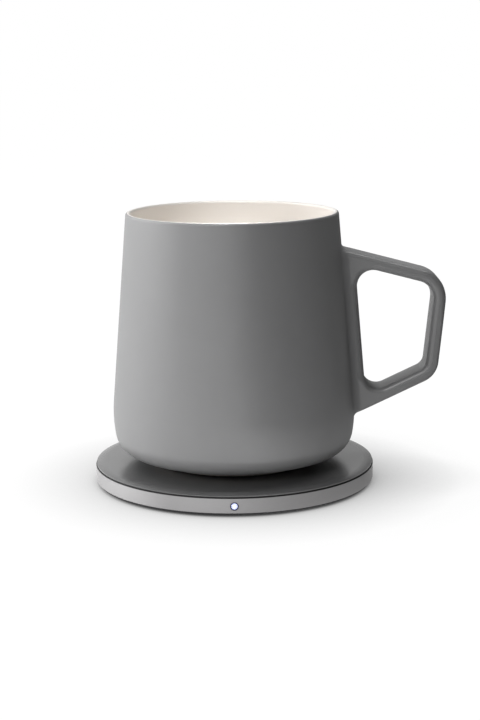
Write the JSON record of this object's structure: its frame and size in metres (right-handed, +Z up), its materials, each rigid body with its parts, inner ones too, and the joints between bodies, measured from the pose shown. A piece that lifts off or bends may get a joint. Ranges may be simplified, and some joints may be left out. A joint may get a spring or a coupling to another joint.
{
  "type": "self-heating mug with warming pad",
  "caption": "Grey glazed mug with an angular strap handle and a heating disc in its base, standing on a thin round induction warming pad with a metal rim, a status light and a power inlet.",
  "frame": {"origin": "centre of the pad's underside, on the table", "axes": "+Z up along the axis of the pad and the mug, +X towards the mug's handle, -Y towards the status light, +Y towards the power inlet"},
  "size_m": [0.1301, 0.1041, 0.1008],
  "materials": {
    "stoneware": "satin",
    "heater_steel": "satin",
    "bond": "matte",
    "mug_silicone": "matte",
    "plate_glass": "gloss",
    "seal": "matte",
    "band_metal": "satin",
    "chassis_plastic": "matte",
    "base_plastic": "matte",
    "foot_silicone": "matte",
    "screw_steel": "satin",
    "board": "satin",
    "tray_plastic": "matte",
    "copper": "satin",
    "tinned": "satin",
    "ferrite": "matte",
    "shield": "satin",
    "mica": "matte",
    "sensor": "gloss",
    "cushion": "matte",
    "socket_steel": "satin",
    "socket_plastic": "matte",
    "lamp": "gloss",
    "lens": "gloss",
    "bezel": "gloss",
    "chip": "matte",
    "film_capacitor": "satin",
    "capacitor_can": "satin",
    "choke_core": "matte",
    "resistor": "satin"
  },
  "bodies": {
    "pad": {"top_plate": "plate_glass", "plate_seal": "seal", "rim_band": "band_metal", "chassis": "chassis_plastic", "base_cover": "base_plastic", "foot_pad": "foot_silicone", "cover_screws": "screw_steel", "board_screws": "screw_steel", "main_board": "board", "coil_tray": "tray_plastic", "heating_coil": "copper", "coil_terminals": "tinned", "ferrite_bars": "ferrite", "shield_disc": "shield", "heat_sheet": "mica", "thermistor": "sensor", "sensor_cushion": "cushion", "sensor_leads": "tinned", "usb_shell": "socket_steel", "usb_tongue": "socket_plastic", "status_led": "lamp", "led_lens": "lens", "led_bezel": "bezel", "driver_chip": "chip", "control_chip": "chip", "power_switches": "chip", "resonant_capacitors": "film_capacitor", "bulk_capacitors": "capacitor_can", "choke": "choke_core", "chip_resistors": "resistor"},
    "mug": {"mug_body": "stoneware", "heating_disc": "heater_steel", "disc_bond": "bond", "base_pad": "mug_silicone"}
  },
  "joints": [
    {"name": "mug_lift", "type": "slide", "parent": "pad", "child": "mug", "axis": [0, 0, 1], "range_m": [0, 0.12]}
  ]
}
